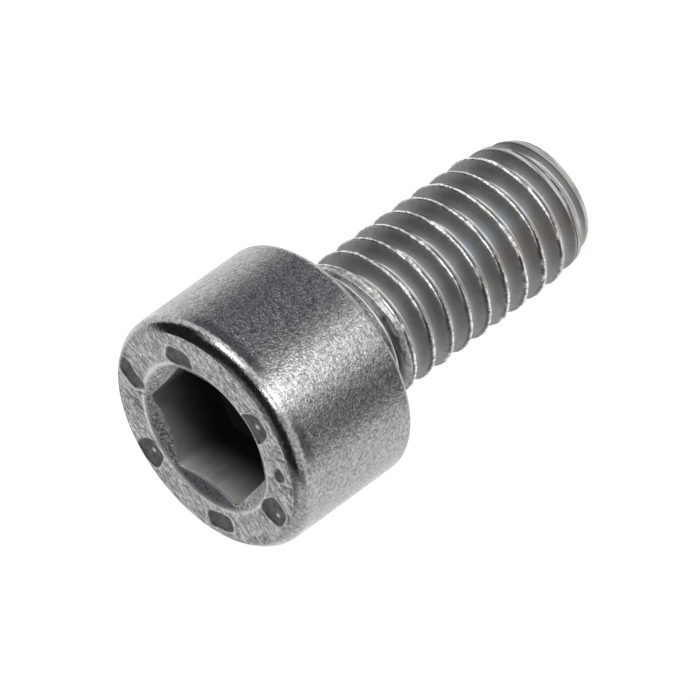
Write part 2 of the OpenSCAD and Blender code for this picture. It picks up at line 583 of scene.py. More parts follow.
@dataclass(frozen=True)
class ThreadFinish(Finish):
    """Rolled thread: dark flanks, worn crests painted bright as a highlight, roots painted paler as a
    highlight, folds painted dark as shade, and a heat stain that also brightens as a painted highlight.
    """

    crest_wear_and_highlight_colour: Colour = (0.95, 0.94, 0.92, 1.0)
    root_colour: Colour = (0.58, 0.57, 0.555, 1.0)
    fold_shade_colour: Colour = (0.06, 0.057, 0.055, 1.0)
    root_highlight_share: float = 0.9
    flank_stain: float = 0.4
    crest_polish: float = 0.12
    grain_cells: float = 14.0
    grain_depth: float = 0.005
    # heat colour, with tints above 1 that also paint a highlight on the roots
    stains: tuple[HeatSpot, ...] = (
        HeatSpot((1.02, 1.11, 1.23, 1.0), (0.05, -2.5, 4.2), (0.6, 1.0, 3.0)),
        HeatSpot((1.05, 0.97, 0.94, 1.0), (-1.2, -2.3, 2.8), (0.5, 0.6, 2.4)),
    )

    def build(self) -> bpy.types.Material:
        """Builds the material.

        Returns:
            The finished material.
        """
        material, wires, shader, spot = self.start()
        crest, root, fold_and_shade, cut = (wires.mask(name) for name in ("crest", "root", "fold_and_shade", "cut"))
        grain = self.place(wires, Effect.GRAIN, {"Vector": spot, "Cells per mm": self.grain_cells,
                                                 "Pits": 0.4})
        clouds = wires.ramp(wires.noise(spot, 1.3, 4.0, 0.7), 0.3, 0.7)
        tone = wires.blended((grain.outputs["Tone"], 0.4), (clouds, 0.6))
        flank = wires.mix(tone, self.shade, self.colour)
        pale: Value = self.root_colour
        for stain in self.stains:
            pale = self.place(wires, Effect.STAIN, stain.inputs(spot, pale)).outputs["Color"]
            faint = stain.inputs(spot, flank, self.flank_stain)
            flank = self.place(wires, Effect.STAIN, faint).outputs["Color"]
        # painted highlight: the roots are painted paler than the flanks
        colour = wires.mix(wires.times(root, self.root_highlight_share), flank, pale)
        rings = wires.ramp(wires.noise(wires.stretched(spot, (0.06, 0.06, 1.0)), 14.0, 2.0, 0.6), 0.4, 0.6)
        colour = wires.mix(cut, colour, wires.mix(rings, self.shade, self.root_colour))
        torn = wires.ramp(wires.noise(spot, 5.0, 3.0, 0.75), 0.42, 0.56)
        # worn crests, painted bright on one side as a highlight
        colour = wires.mix(crest, colour, wires.mix(torn, self.colour, self.crest_wear_and_highlight_colour))
        # painted shade: the folds and the groove under the neck are painted near black
        wires.feed(shader.inputs["Base Color"], wires.mix(fold_and_shade, colour, self.fold_shade_colour))
        rough = wires.ramp(crest, 0.0, 1.0, self.roughness, self.roughness - self.crest_polish)
        wires.feed(shader.inputs["Roughness"], rough)
        self.relief(wires, shader, grain.outputs["Height"], self.grain_depth)
        return material


@dataclass(frozen=True)
class FaceSpot:
    """A place on the top face, with a direction of its own.

    Its turn is its angle round the axis, and its tilt is measured from the direction
    round the axis. Both are in degrees.
    """

    turn: float
    radius: float
    tilt: float = 0.0

    def local(self, turns: np.ndarray, radii: np.ndarray) -> tuple[np.ndarray, np.ndarray]:
        """Measures points of the face along and across the spot's direction.

        Args:
            turns: each point's angle round the axis, in radians.
            radii: each point's distance from the axis.

        Returns:
            The distances along and across.
        """
        x = radii * np.cos(turns) - self.radius * math.cos(math.radians(self.turn))
        y = radii * np.sin(turns) - self.radius * math.sin(math.radians(self.turn))
        angle = math.radians(self.turn + 90.0 + self.tilt)
        return x * math.cos(angle) + y * math.sin(angle), -x * math.sin(angle) + y * math.cos(angle)


class MarkShape(Enum):
    """Outlines of the plain stamped marks: length, width and how square the ends are."""

    BROAD = (1.22, 1.14, 2.6)
    SLIM = (1.3, 0.76, 4.2)
    DOT = (0.64, 0.5, 2.0)


@dataclass(frozen=True)
class StampedMark(FaceSpot):
    """One plain recess in the top face, which may have a raised pip in it."""

    shape: MarkShape = MarkShape.BROAD
    pip: float = 0.0
    wobble: float = 0.05

    def cover(self, turns: np.ndarray, radii: np.ndarray) -> tuple[np.ndarray, np.ndarray]:
        """Measures how each point of the face lies to the mark.

        Args:
            turns: each point's angle round the axis, in radians.
            radii: each point's distance from the axis.

        Returns:
            The distance outside the outline, negative inside, and the distance from the mark's pip.
        """
        length, width, power = self.shape.value
        along, across = self.local(turns, radii)
        bearing = np.arctan2(across, along)
        waves = np.sin(3.0 * bearing + self.turn) + 0.6 * np.sin(5.0 * bearing - self.turn)
        swell = 1.0 + self.wobble * waves
        reach = (np.abs(along / (length / 2)) ** power + np.abs(across / (width / 2)) ** power) ** (1 / power)
        return (reach / swell - 1.0) * width / 2, np.hypot(along, across - self.pip)


@dataclass(frozen=True)
class Nick(FaceSpot):
    """One scratch or chip in the top face."""

    length: float = 0.4
    width: float = 0.05

    BEND = 0.02
    END_SOFTNESS = 0.03

    def mask(self, turns: np.ndarray, radii: np.ndarray) -> np.ndarray:
        """Gives 1 on the nick and 0 away from it.

        Args:
            turns: each point's angle round the axis, in radians.
            radii: each point's distance from the axis.

        Returns:
            The mask of each point.
        """
        along, across = self.local(turns, radii)
        bent = across + self.BEND * np.sin(9.0 * along)
        return bell(bent, self.width) / (1.0 + np.exp((np.abs(along) - self.length / 2) / self.END_SOFTNESS))


@dataclass
class Head:
    """The head: revolved outside, top face with marks, countersink and hexagonal socket."""

    side_finish: SideFinish
    face_finish: FaceFinish
    socket_finish: SocketFinish
    diameter: float = 9.8
    seat_z: float = SHANK_LENGTH
    height: float = 5.95
    rim_radius: float = 0.86
    seat_edge_radius: float = 0.3
    core_radius: float = 2.5
    neck_radius: float = 2.84
    neck_z: float = NECK_Z
    fillet_height: float = 0.2
    seat_radius: float = 2.98
    socket_width: float = 5.15
    socket_depth: float = 3.1
    socket_cone_height: float = 0.7
    socket_turn: float = 34.0
    corner_round: float = 0.12
    mouth_radius: float = 3.19
    mouth_slope: float = 60.0
    lip_radius: float = 0.05
    forged_turn: float = 124.0
    forged_reach: float = 34.0
    torn_turn: float = 20.0
    torn_reach: float = 58.0
    mark_depth: float = 0.05
    mark_softness: float = 0.012
    pip_size: float = 0.075
    pip_height: float = 0.03
    nick_depth: float = 0.025
    columns: int = 720
    marks: tuple[StampedMark, ...] = (
        StampedMark(78.5, 3.95, 10.0, MarkShape.BROAD, 0.2),
        StampedMark(195.5, 3.76, -12.0, MarkShape.BROAD, -0.21),
        StampedMark(257.8, 3.5, 4.0, MarkShape.BROAD, -0.19),
        StampedMark(25.5, 3.93, 62.0, MarkShape.SLIM, wobble=0.09),
        StampedMark(136.3, 3.87, 6.0, MarkShape.SLIM, wobble=0.03),
        StampedMark(327.0, 3.52, -14.0, MarkShape.SLIM),
        StampedMark(226.5, 3.9, -20.0, MarkShape.DOT),
    )
    nicks: tuple[Nick, ...] = (
        Nick(243.0, 4.22, 88.0, 0.5),
        Nick(238.0, 4.25, -86.0, 0.6),
        Nick(221.0, 4.2, -84.0, 0.36),
        Nick(220.0, 4.46, 23.0, 0.36, 0.08),
        Nick(209.0, 4.43, -84.0, 0.22, 0.09),
        Nick(200.0, 4.45, 33.0, 0.42, 0.07),
        Nick(34.0, 3.32, -64.0, 0.4),
        Nick(45.0, 3.66, 58.0, 0.8, 0.04),
        Nick(43.0, 3.56, 66.0, 0.34, 0.04),
        Nick(15.0, 4.3, -49.0, 0.42),
    )
    turns: np.ndarray = field(init=False)

    NECK_EDGE = 0.04
    NECK_EDGE_ROWS = slice(2, 8)
    NECK_ROWS = 13
    LIP_ROWS = 4
    RIM_END = 54.0
    NEAR = 0.02

    def __post_init__(self) -> None:
        """Works out the angle of each column of points."""
        self.turns = np.radians(np.arange(self.columns) * 360.0 / self.columns)

    @property
    def top_z(self) -> float:
        """Height of the top face above the threaded end."""
        return self.seat_z + self.height

    @property
    def face_radius(self) -> float:
        """Radius at which the flat top face meets the rim's rounding."""
        return self.diameter / 2 - self.rim_radius * (1 - math.cos(math.radians(self.RIM_END)))

    def ring(self, radius: float, height: float) -> Row:
        """Gives a plain ring of points."""
        return np.full(self.columns, radius), np.full(self.columns, height)

    def arc(self, centre: tuple[float, float], size: float, degrees: np.ndarray | tuple | list) -> list[Row]:
        """Gives the rings of a rounded edge, at angles in degrees above straight outwards."""
        return [self.ring(centre[0] + size * math.cos(angle), centre[1] + size * math.sin(angle))
                for angle in np.radians(degrees)]

    def hexagon(self) -> np.ndarray:
        """Gives the socket's outline, with slightly rounded corners.

        Returns:
            The outline's radius for each column.
        """
        sector, softness = math.pi / 3, 0.02
        off = (self.turns - math.radians(self.socket_turn)) % sector - sector / 2
        flat = self.socket_width / 2
        sharp = flat / np.cos(off)
        blunt = flat / math.cos(sector / 2) - self.corner_round * 0.35
        return -softness * np.logaddexp(-sharp / softness, -blunt / softness)

    def outer_rows(self) -> list[Row]:
        """Gives the rings from the neck, under the head and up its side to the top face.

        Returns:
            The rings in order.
        """
        corner = self.neck_radius - self.NECK_EDGE
        rows = [self.ring(radius, self.neck_z) for radius in (0.0, self.core_radius, corner - 0.03, corner)]
        rows += self.arc((corner, self.neck_z + self.NECK_EDGE), self.NECK_EDGE, (-60.0, -30.0, 0.0))
        heights = np.linspace(self.neck_z + 0.1, self.seat_z - self.fillet_height, 4)
        rows += [self.ring(self.neck_radius, height) for height in (self.neck_z + 0.06, *heights)]
        rows += [self.ring(self.neck_radius + 0.03, self.seat_z - 0.06)]
        radius, edge = self.diameter / 2, self.seat_edge_radius
        seat = (self.seat_radius, self.seat_radius + self.NEAR, radius - edge - self.NEAR)
        rows += [self.ring(place, self.seat_z) for place in seat]
        rows += self.arc((radius - edge, self.seat_z + edge), edge, np.linspace(-90.0, 0.0, 9))
        low = self.seat_z + edge
        high = self.top_z - self.rim_radius * math.sin(math.radians(self.RIM_END))
        rows += [self.ring(radius, low + share * (high - low)) for share in (0.02, 0.25, 0.5, 0.75, 0.98)]
        rim = [*np.linspace(0.0, self.RIM_END - 2.0, 12), self.RIM_END - 0.5]
        return rows + self.arc((radius - self.rim_radius, high), self.rim_radius, rim)

    def face_rows(self) -> list[Row]:
        """Gives the rings of the flat top face, from the rim to the mouth of the socket."""
        radii = np.linspace(self.face_radius - 0.012, self.mouth_radius, 38)
        return [self.ring(radius, self.top_z) for radius in radii]

    def mouth_rows(self) -> list[Row]:
        """Gives the rings of the countersink, down to the rounded top edge of the walls.

        Returns:
            The rings in order.
        """
        flats, edge = self.hexagon(), self.lip_radius
        slope = math.tan(math.radians(self.mouth_slope))
        rows = []
        for share in np.linspace(0.06, 1.0, 10):
            radii = self.mouth_radius + share * (flats + edge - self.mouth_radius)
            rows.append((radii, self.top_z - (self.mouth_radius - radii) / slope))
        lip_z = rows[-1][1]
        for angle in np.radians((30.0, 60.0, 90.0)):
            rows.append((flats + edge * (1 - math.sin(angle)), lip_z - edge * (1 - math.cos(angle)) - 0.01))
        return rows

    def wall_rows(self) -> list[Row]:
        """Gives the rings down the flat walls and across the coned floor, to its centre.

        Returns:
            The rings in order.
        """
        flats = self.hexagon()
        lip_z = self.mouth_rows()[-1][1]
        floor_z = self.top_z - self.socket_depth
        rows = [(flats, lip_z + share * (floor_z - lip_z)) for share in np.linspace(0.03, 1.0, 12)]
        inner = self.socket_width / 2 - 0.1
        floor = np.full(self.columns, floor_z)
        rows += [(flats + share * (inner - flats), floor) for share in (0.04, 0.96)]
        rows += [self.ring(inner * (1 - share), floor_z - self.socket_cone_height * share)
                 for share in np.linspace(0.0, 1.0, 7)]
        return rows

    def stretch(self, turn: float, reach: float, fade: float) -> np.ndarray:
        """Masks the columns near an angle, out to a reach with a soft end, all in degrees."""
        away = np.degrees(np.abs(np.angle(np.exp(1j * (self.turns - math.radians(turn))))))
        return np.clip((reach - away) / fade, 0.0, 1.0)

    def stamp(self, radii: np.ndarray, heights: np.ndarray) -> tuple[np.ndarray, np.ndarray, np.ndarray]:
        """Presses the marks and the nicks into the top face.

        Args:
            radii: the radius of each point of the face, row by row.
            heights: the height of each point.

        Returns:
            The new heights, a mask of the marks and a mask of the burrs.
        """
        lip_offset, lip_width, lip_height, nick_shade = 0.035, 0.03, 0.01, 0.85
        turns = np.broadcast_to(self.turns, radii.shape)
        heights, marked, burred = heights.copy(), np.zeros_like(radii), np.zeros_like(radii)
        for number, mark in enumerate(self.marks):
            outside, from_pip = mark.cover(turns, radii)
            inside = 1.0 / (1.0 + np.exp(outside / self.mark_softness))
            lip = bell(outside - lip_offset, lip_width)
            pip = (mark.pip != 0.0) * bell(from_pip, self.pip_size)
            heights += lip_height * lip - self.mark_depth * inside + self.pip_height * pip
            marked = np.maximum(marked, inside)
            uneven = 0.7 * lip * (0.6 + 0.4 * np.sin(9 * turns + number))
            burred = np.maximum(burred, np.maximum(uneven, pip))
        for nick in self.nicks:
            mask = nick.mask(turns, radii)
            heights -= self.nick_depth * mask
            marked = np.maximum(marked, nick_shade * mask)
        raised, burr = self.mouth_burr(turns, radii)
        return heights + raised, marked, np.maximum(burred, burr * (1.0 - marked))

    def mouth_burr(self, turns: np.ndarray, radii: np.ndarray) -> tuple[np.ndarray, np.ndarray]:
        """Raises a burr round the mouth of the socket, wider and torn on one side.

        Args:
            turns: each point's angle round the axis, in radians.
            radii: each point's distance from the axis.

        Returns:
            The burr's height and its mask.
        """
        inset, width, height = 0.03, 0.07, 0.008
        torn_offset, torn_width, torn_fade, teeth = 0.02, 0.1, 14.0, 150
        burr = bell(radii - self.mouth_radius + inset, width)
        burr *= 0.75 + 0.25 * np.sin(5 * turns + 1.0) * np.sin(13 * turns)
        torn = self.stretch(self.torn_turn, self.torn_reach, torn_fade)
        torn = torn * bell(radii - self.mouth_radius - torn_offset, torn_width)
        torn *= 0.78 + 0.2 * np.sin(teeth * turns)
        return height * burr, np.maximum(burr, torn)

    def build(self) -> bpy.types.Object:
        """Builds the head.

        Returns:
            The finished object.
        """
        outer, face, mouth, wall = self.outer_rows(), self.face_rows(), self.mouth_rows(), self.wall_rows()
        rows = outer + face + mouth + wall
        first = len(outer)
        last = first + len(face)
        lip = last + len(mouth)
        radii = np.array([row[0] for row in rows])
        heights = np.array([row[1] for row in rows])
        marks, burrs, forged, sink = (np.zeros_like(radii) for _ in range(4))
        # painted highlight on the rounded edge at the bottom of the neck
        burrs[self.NECK_EDGE_ROWS] = 0.95
        # painted shade: the neck's side under the head is darkened with the marks' colour
        marks[self.NECK_EDGE_ROWS.stop:self.NECK_ROWS] = 0.45
        span = slice(first, last + len(mouth) // 2)
        heights[span], marks[span], burrs[span] = self.stamp(radii[span], heights[span])
        crescent = self.stretch(self.forged_turn, self.forged_reach, 6.0)
        forged[last + 1:lip - self.LIP_ROWS] = crescent
        sink[last:lip - 2] = 1.0
        # painted highlight along the socket's lip, strongest over the crescent of one wall
        burrs[lip - self.LIP_ROWS:lip] = 0.2 + 0.7 * crescent
        mesh = self.weave(radii, heights)
        for name, values in (("mark", marks), ("burr", burrs), ("forged", forged), ("sink", sink)):
            mesh.attributes.new(name, "FLOAT", "POINT").data.foreach_set("value", self.points_of(values))
        for finish in (self.side_finish, self.face_finish, self.socket_finish):
            mesh.materials.append(finish.build())
        bands = np.zeros(len(rows) - 1, np.int32)
        bands[:self.NECK_ROWS] = 1
        bands[first - 1:lip - 1] = 1
        bands[lip - 1:] = 2
        mesh.polygons.foreach_set("material_index", np.repeat(bands, self.columns))
        mesh.polygons.foreach_set("use_smooth", np.ones(len(mesh.polygons), bool))
        mesh.update()
        LOG.info("head: %d faces, %d marks", len(mesh.polygons), len(self.marks))
        return add_object("head", mesh)

    def points_of(self, values: np.ndarray) -> np.ndarray:
        """Orders a value of each ring point as the mesh's vertices are, with one for each pole."""
        return np.concatenate([[values[0, 0]], values[1:-1].ravel(), [values[-1, 0]]]).astype(np.float32)

    def weave(self, radii: np.ndarray, heights: np.ndarray) -> bpy.types.Mesh:
        """Joins rings of points into one closed mesh.

        Args:
            radii: the radius of each point, row by row, with a pole first and last.
            heights: the height of each point.

        Returns:
            The mesh, with its faces outwards.
        """
        count = self.columns
        x, y = radii * np.cos(self.turns), radii * np.sin(self.turns)
        grid = np.stack([x, y, heights], axis=-1)
        points = np.concatenate([grid[0, :1], grid[1:-1].reshape(-1, 3), grid[-1, :1]]) * MM
        here = np.arange(count)
        after = (here + 1) % count
        last = len(points) - 1
        faces: list[tuple[int, ...]] = [(0, 1 + b, 1 + a) for a, b in zip(here, after)]
        for row in range(len(radii) - 3):
            low, high = 1 + row * count, 1 + (row + 1) * count
            corners = (low + here, low + after, high + after, high + here)
            faces += zip(*(corner.tolist() for corner in corners))
        low = 1 + (len(radii) - 3) * count
        faces += [(low + a, low + b, last) for a, b in zip(here, after)]
        mesh = bpy.data.meshes.new("head")
        mesh.from_pydata(points.tolist(), [], faces)
        return mesh


@dataclass(frozen=True)
class ThreadWork:
    """The sockets that the steps of the thread's tree share."""

    wires: Wiring
    size: dict[str, Socket]
    turn: Socket
    z: Socket
    wave: Socket
    from_crest: Socket
    sideways: Socket
    spot: Socket
    ragged: Socket


@dataclass
class ThreadedShank:
    """The shank: a rolled right-hand thread with a chamfered end, made with Geometry Nodes."""

    finish: ThreadFinish
    top_z: float = 11.0
    pitch: float = 1.0
    crest_radius: float = 2.92
    root_depth: float = 0.613
    phase: float = 0.26
    end_radius: float = 2.42
    chamfer_height: float = 0.6
    chamfer_width: float = 0.28
    lead_length: float = 2.2
    neck_z: float = NECK_Z
    neck_radius: float = 2.56
    shoulder_length: float = 0.16
    runout_length: float = 0.3
    wear: float = 0.05
    fold_depth: float = 0.055
    last_crest_width: float = 0.34
    seed: int = 4
    columns: int = 192
    samples: int = 28
    spare_turns: int = 2

    CROWDING = 0.5
    STOP_GAP = 0.5
    SMOOTHING = 0.05
    FORM = ((0.0, 0.0), (0.13, 0.004), (0.2, 0.05), (0.28, 0.19), (0.4, 0.388), (0.55, 0.6),
            (0.68, 0.784), (0.78, 0.905), (0.88, 0.972), (1.0, 1.0))

    def inputs(self) -> dict[str, float | int]:
        """Gives the tree's sizes.

        Returns:
            The named inputs and their values, in millimetres.
        """
        return {
            "Length": self.top_z, "Pitch": self.pitch, "Crest Radius": self.crest_radius,
            "Thread Depth": self.root_depth, "Phase": self.phase, "End Radius": self.end_radius,
            "Chamfer Height": self.chamfer_height, "Chamfer Width": self.chamfer_width,
            "Lead Length": self.lead_length, "Neck Height": self.neck_z, "Neck Radius": self.neck_radius,
            "Shoulder Length": self.shoulder_length, "Run-out Length": self.runout_length,
            "Crest Wear": self.wear, "Fold Depth": self.fold_depth, "Last Crest Width": self.last_crest_width,
        }

    def sheet(self, wires: Wiring, size: dict[str, Socket]) -> tuple[Socket, Socket, Socket]:
        """Builds the grid that is rolled up, with its rows closer together at the crests.

        Args:
            wires: the tree's wiring.
            size: the tree's named sizes.

        Returns:
            The grid, each point's share of a turn, and its height before it is held to the shank.
        """
        turns = math.ceil(self.top_z / self.pitch) + 2 * self.spare_turns
        grid = wires.add("GeometryNodeMeshGrid", {
            "Size X": 1.0, "Size Y": 1.0,
            "Vertices X": self.columns + 1, "Vertices Y": turns * self.samples + 1,
        })
        x, y, _ = wires.split(wires.add("GeometryNodeInputPosition").outputs[0])
        turn = wires.plus(x, 0.5)
        even = wires.times(wires.plus(y, 0.5), float(turns))
        phase_angle = wires.times(wires.minus(even, size["Phase"]), math.tau)
        closer = wires.times(wires.math("SINE", phase_angle), self.CROWDING / math.tau)
        raised = wires.minus(wires.plus(wires.minus(even, closer), turn), float(self.spare_turns))
        return grid.outputs[0], turn, wires.times(raised, size["Pitch"])

    def groove(self, work: ThreadWork) -> Socket:
        """Gives the thread's depth below the crest, which runs out at the neck.

        Args:
            work: the shared sockets.

        Returns:
            The depth's socket.
        """
        wires, size = work.wires, work.size
        form = wires.add("ShaderNodeFloatCurve", {"Factor": 1.0, "Value": work.from_crest})
        curve = form.mapping.curves[0]
        curve.points[0].location, curve.points[-1].location = self.FORM[0], self.FORM[-1]
        for x, y in self.FORM[1:-1]:
            curve.points.new(x, y)
        form.mapping.update()
        neck_share = wires.over(wires.minus(size["Crest Radius"], size["Neck Radius"]), size["Thread Depth"])
        runout = wires.over(wires.minus(size["Neck Height"], work.z), size["Run-out Length"])
        keep = wires.ramp(runout, 0.0, 1.0, neck_share, 1.0, smooth=False)
        return wires.times(form.outputs[0], size["Thread Depth"], keep)

    def torn_thread(self, work: ThreadWork) -> tuple[Socket, Socket]:
        """Chips the crests and opens a wandering folded seam along them.

        Args:
            work: the shared sockets.

        Returns:
            The thread's radius and a mask of the folds.
        """
        wires, size = work.wires, work.size
        near_crest = wires.ramp(work.from_crest, 0.2, 0.3, 1.0, 0.0)
        torn = wires.minus(wires.noise(work.spot, 3.2, 3.0, 0.65), 0.42)
        chipped = wires.times(torn, near_crest, size["Crest Wear"])
        swing = wires.math("SINE", wires.times(wires.minus(work.turn, 0.69), math.tau))
        wander = wires.ramp(swing, -0.35, 0.35, -0.5, 0.48)
        seam_place = wires.plus(wander, wires.times(work.ragged, 0.6))
        seam = wires.math("ABSOLUTE", wires.plus(work.sideways, seam_place))
        opened = wires.ramp(wires.noise(work.spot, 0.9, 2.0, 0.6), 0.36, 0.46)
        fold_and_shade = wires.times(wires.ramp(seam, 0.17, 0.38, 1.0, 0.0), near_crest, opened)
        fold_cut = wires.times(fold_and_shade, size["Fold Depth"])
        return wires.minus(size["Crest Radius"], self.groove(work), chipped, fold_cut), fold_and_shade

    def last_crest(self, work: ThreadWork) -> tuple[Socket, Socket, Socket]:
        """Widens the last crest as it rises to the neck.

        Args:
            work: the shared sockets.

        Returns:
            Its radius or 0 off it, a mask of its band painted bright as a highlight, and a mask of painted
            shade in the groove above it.
        """
        sunk, bright_share = 0.04, 0.55
        wires, size = work.wires, work.size
        past_crest = wires.times(wires.math("FRACT", work.wave), size["Pitch"])
        crest_z = wires.minus(work.z, past_crest)
        last_z = wires.minus(size["Neck Height"], size["Pitch"])
        width = wires.ramp(crest_z, last_z, wires.plus(last_z, 0.45), 0.0, size["Last Crest Width"])
        width = wires.plus(width, wires.times(work.ragged, 0.05))
        inside = wires.ramp(past_crest, width, wires.plus(width, 0.1), 1.0, 0.0)
        widened = wires.math("GREATER_THAN", crest_z, last_z)
        radius = wires.times(inside, wires.minus(size["Crest Radius"], sunk), widened)
        gap_start = wires.plus(width, 0.07)
        gap_rise = wires.ramp(wires.minus(crest_z, last_z), 0.05, 0.28)
        gap_shade = wires.times(wires.ramp(past_crest, gap_start, wires.plus(gap_start, 0.08)), gap_rise)
        return radius, wires.times(inside, widened, bright_share), gap_shade

    def end_limit(self, work: ThreadWork) -> Socket:
        """Gives the radius that the chamfer and the tapered lead allow at each height.

        Args:
            work: the shared sockets.

        Returns:
            The radius, past every crest above the lead.
        """
        wires, size = work.wires, work.size
        chamfer = wires.times(size["Chamfer Width"],
                              wires.ramp(work.z, 0.0, size["Chamfer Height"], smooth=False))
        rise = wires.minus(size["Crest Radius"], size["End Radius"], size["Chamfer Width"])
        taper = wires.times(rise, wires.ramp(work.z, size["Chamfer Height"], size["Lead Length"],
                                             smooth=False))
        free_z = wires.plus(size["Lead Length"], self.STOP_GAP)
        free = wires.ramp(work.z, size["Lead Length"], free_z, 0.0, self.STOP_GAP, smooth=False)
        return wires.plus(size["End Radius"], chamfer, taper, free)

    def neck_limit(self, work: ThreadWork) -> Socket:
        """Gives the radius that the shoulder under the neck allows at each height.

        Args:
            work: the shared sockets.

        Returns:
            The radius, past every crest below the shoulder.
        """
        wires, size = work.wires, work.size
        shoulder_z = wires.minus(size["Neck Height"], size["Shoulder Length"])
        shoulder = wires.ramp(work.z, shoulder_z, size["Neck Height"], size["Crest Radius"],
                              size["Neck Radius"], smooth=False)
        free_z = wires.minus(shoulder_z, self.STOP_GAP)
        return wires.plus(shoulder, wires.ramp(work.z, free_z, shoulder_z, self.STOP_GAP, 0.0, smooth=False))

    def tree(self) -> bpy.types.NodeTree:
        """Builds the Geometry Nodes tree of the thread.

        Returns:
            The tree, which makes the shank from its named inputs alone.
        """
        closed, dish_depth, weld = 0.98, 0.04, 0.0015
        made = GroupMaker("rolled thread", "GeometryNodeTree")
        made.takes("Geometry", "NodeSocketGeometry")
        size = {name: made.takes(name, "NodeSocketFloat", value) for name, value in self.inputs().items()}
        seed = made.takes("Seed", "NodeSocketInt", self.seed)
        steel = made.takes("Material", "NodeSocketMaterial")
        wires = made.wires
        shape, turn, free_z = self.sheet(wires, size)
        z = wires.math("MINIMUM", wires.math("MAXIMUM", free_z, 0.0), size["Length"])
        wave = wires.minus(wires.over(z, size["Pitch"]), turn, size["Phase"])
        half_off = wires.math("ABSOLUTE", wires.minus(wires.math("FRACT", wave), 0.5))
        from_crest = wires.minus(1.0, wires.times(half_off, 2.0))
        sideways = wires.math("SINE", wires.times(wave, math.tau))
        angle = wires.times(turn, math.tau)
        ring = wires.join(wires.math("COSINE", angle), wires.math("SINE", angle))
        spot = wires.vector("ADD", wires.scaled(ring, size["Crest Radius"]), wires.join(x=seed, z=z))
        ragged = wires.times(wires.minus(wires.noise(spot, 2.4, 3.0, 0.7), 0.5), 0.7)
        work = ThreadWork(wires, size, turn, z, wave, from_crest, sideways, spot, ragged)

        thread, fold_and_shade = self.torn_thread(work)
        last_radius, last_band, gap_shade = self.last_crest(work)
        thread = wires.larger(thread, last_radius)
        radius = wires.math("SMOOTH_MIN", thread, self.end_limit(work), self.SMOOTHING)
        radius = wires.math("SMOOTH_MIN", radius, self.neck_limit(work), self.SMOOTHING)
        below = wires.ramp(wires.over(free_z, size["Pitch"]), -closed, 0.0, smooth=False)
        past_top = wires.over(wires.minus(free_z, size["Length"]), size["Pitch"])
        above = wires.ramp(past_top, 0.0, closed, 1.0, 0.0, smooth=False)
        radius = wires.times(radius, below, above)
        dish = wires.times(wires.ramp(below, 0.2, 0.95, 1.0, 0.0), dish_depth)
        point = wires.vector("ADD", wires.scaled(ring, radius), wires.join(z=wires.plus(z, dish)))

        cut_crest = wires.ramp(wires.minus(thread, radius), 0.01, 0.06)
        lead_end = wires.plus(size["Lead Length"], self.STOP_GAP)
        on_end = wires.ramp(z, size["Lead Length"], lead_end, 1.0, 0.0)
        edge = wires.times(wires.ramp(from_crest, 0.17, 0.25, 1.0, 0.0), wires.ramp(sideways, -0.7, -0.4))
        masks = {
            # the crest mask marks crest wear and a painted highlight, on one side of each crest
            "crest": wires.larger(wires.times(edge, wires.minus(1.0, cut_crest)), last_band),
            "root": wires.ramp(from_crest, 0.42, 0.85),
            # the folds and the groove under the neck are painted dark as shade
            "fold_and_shade": wires.times(wires.larger(fold_and_shade, gap_shade), 0.9),
            "cut": wires.times(cut_crest, on_end),
        }
        for name, value in masks.items():
            stored = wires.add("GeometryNodeStoreNamedAttribute", {"Geometry": shape, "Name": name},
                               data_type="FLOAT", domain="POINT")
            wires.feed(next(s for s in stored.inputs if s.name == "Value" and s.enabled), value)
            shape = stored.outputs[0]
        steps = (
            ("GeometryNodeSetPosition", {"Position": wires.scaled(point, MM)}),
            ("GeometryNodeMergeByDistance", {"Distance": weld * MM}),
            ("GeometryNodeSetShadeSmooth", {}),
            ("GeometryNodeRealizeInstances", {}),
            ("GeometryNodeSetMaterial", {"Material": steel}),
        )
        for kind, inputs in steps:
            shape = wires.add(kind, {"Geometry": shape} | inputs).outputs[0]
        made.gives("Geometry", "NodeSocketGeometry", shape)
        return made.tree

    def build(self) -> bpy.types.Object:
        """Builds the shank and bakes it to a plain mesh.

        Returns:
            The finished object.
        """
        steel = self.finish.build()
        maker = add_object("thread maker", bpy.data.meshes.new("thread maker"))
        modifier = maker.modifiers.new("thread", "NODES")
        modifier.node_group = self.tree()
        values = self.inputs() | {"Seed": self.seed, "Material": steel}
        for item in modifier.node_group.interface.items_tree:
            if item.item_type == "SOCKET" and item.in_out == "INPUT" and item.name in values:
                modifier[item.identifier] = values[item.name]
        depsgraph = bpy.context.evaluated_depsgraph_get()
        mesh = bpy.data.meshes.new_from_object(maker.evaluated_get(depsgraph), preserve_all_data_layers=True,
                                               depsgraph=depsgraph)
        maker.modifiers.remove(modifier)
        bpy.data.objects.remove(maker)
        mesh.name = "threaded_shank"
        LOG.info("threaded shank: %d faces", len(mesh.polygons))
        return add_object("threaded_shank", mesh)


@dataclass(frozen=True)
class Softbox:
    """A soft rectangular lamp that faces the bolt."""

    name: str
    azimuth: float
    elevation: float
    distance: float
    width: float
    height: float
    radiance: float
    mirrored: bool = True

    def build(self, aim: Vector) -> bpy.types.Object:
        """Builds the lamp.

        Args:
            aim: the point that it faces.

        Returns:
            The lamp's object.
        """
        lamp = bpy.data.lights.new(self.name, "AREA")
        lamp.shape = "RECTANGLE"
        lamp.size, lamp.size_y = self.width * MM, self.height * MM
        lamp.energy = self.radiance * math.pi * lamp.size * lamp.size_y
        obj = add_object(self.name, lamp)
        a, e = math.radians(self.azimuth), math.radians(self.elevation)
        towards = Vector((math.sin(a) * math.cos(e), -math.cos(a) * math.cos(e), math.sin(e)))
        obj.location = aim + towards * self.distance * MM
        obj.rotation_euler = towards.to_track_quat("Z", "Y").to_euler()
        obj.visible_camera = False
        obj.visible_glossy = self.mirrored
        return obj


